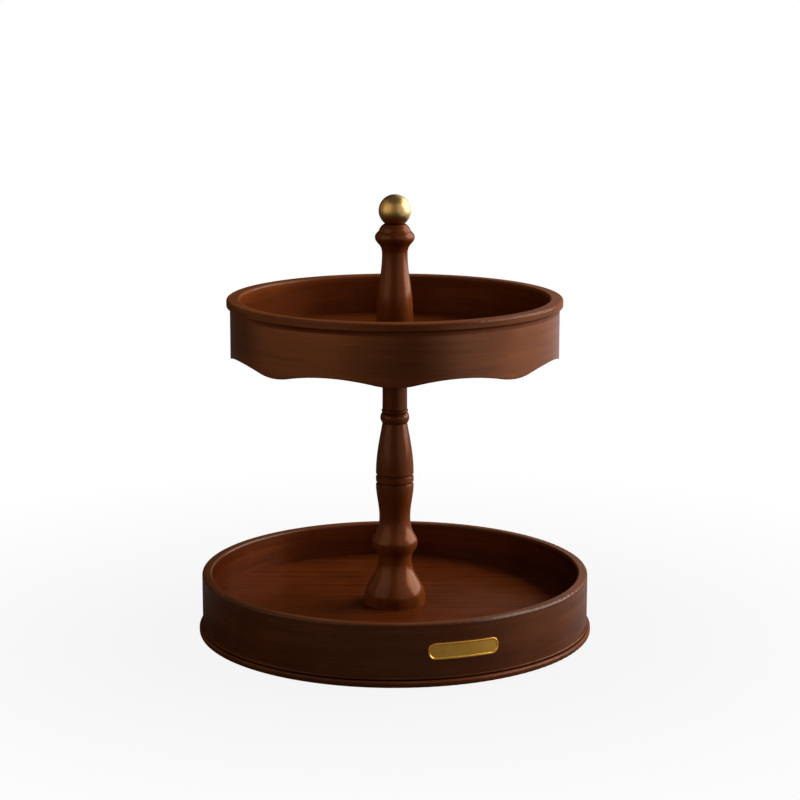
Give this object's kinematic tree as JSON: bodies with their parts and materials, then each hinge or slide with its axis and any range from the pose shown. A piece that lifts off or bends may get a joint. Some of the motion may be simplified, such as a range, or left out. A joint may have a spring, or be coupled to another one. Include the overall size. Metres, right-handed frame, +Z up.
{
  "type": "rotating makeup organizer",
  "caption": "Two-tier round wooden tray on a turned post with a brass ball; both tiers turn together on a ring bearing over a flat base ring to hold cosmetics.",
  "frame": {"origin": "on the table surface, under the middle of the base ring and the post's axis", "axes": "+Z up along the post; -Y is the front, where the brass plate sits to the right"},
  "size_m": [0.3, 0.3, 0.3348],
  "materials": {
    "stained_wood_board": "dark stain, satin lacquer",
    "stained_wood_hoop": "dark stain, satin lacquer",
    "stained_wood_turned": "dark stain, satin lacquer",
    "foot_rubber": "matt",
    "race_aluminium": "turned",
    "ball_steel": "polished",
    "cage_nylon": "moulded",
    "zinc_steel": "zinc plated",
    "insert_brass": "turned",
    "plate_brass": "brushed",
    "ball_brass": "satin polished"
  },
  "bodies": {
    "base": {"base_ring": "stained_wood_board", "base_feet": "foot_rubber", "outer_race": "race_aluminium", "outer_race_screws": "zinc_steel"},
    "ball_ring": {"bearing_balls": "ball_steel", "ball_cage": "cage_nylon"},
    "carousel": {"inner_race": "race_aluminium", "inner_race_screws": "zinc_steel", "lower_tray_floor": "stained_wood_board", "lower_tray_wall": "stained_wood_hoop", "nameplate": "plate_brass", "lower_post": "stained_wood_turned", "lower_post_foot_insert": "insert_brass", "lower_post_top_insert": "insert_brass", "post_bolt": "zinc_steel", "post_washer": "zinc_steel", "upper_tray_floor": "stained_wood_board", "upper_tray_wall": "stained_wood_hoop", "upper_tray_rim": "stained_wood_hoop", "upper_post": "stained_wood_turned", "upper_post_insert": "insert_brass", "joining_stud": "zinc_steel", "finial_ball": "ball_brass", "finial_stud": "zinc_steel", "finial_insert": "insert_brass"}
  },
  "joints": [
    {"name": "carousel_turn", "type": "hinge", "parent": "base", "child": "carousel", "pos_m": [0, 0, 0], "axis": [0, 0, 1], "continuous": true},
    {"name": "ball_ring_turn", "type": "hinge", "parent": "base", "child": "ball_ring", "pos_m": [0, 0, 0], "axis": [0, 0, 1], "continuous": true}
  ],
  "couplings": [
    {"joint": "ball_ring_turn", "follows": "carousel_turn", "ratio": 0.4889}
  ]
}
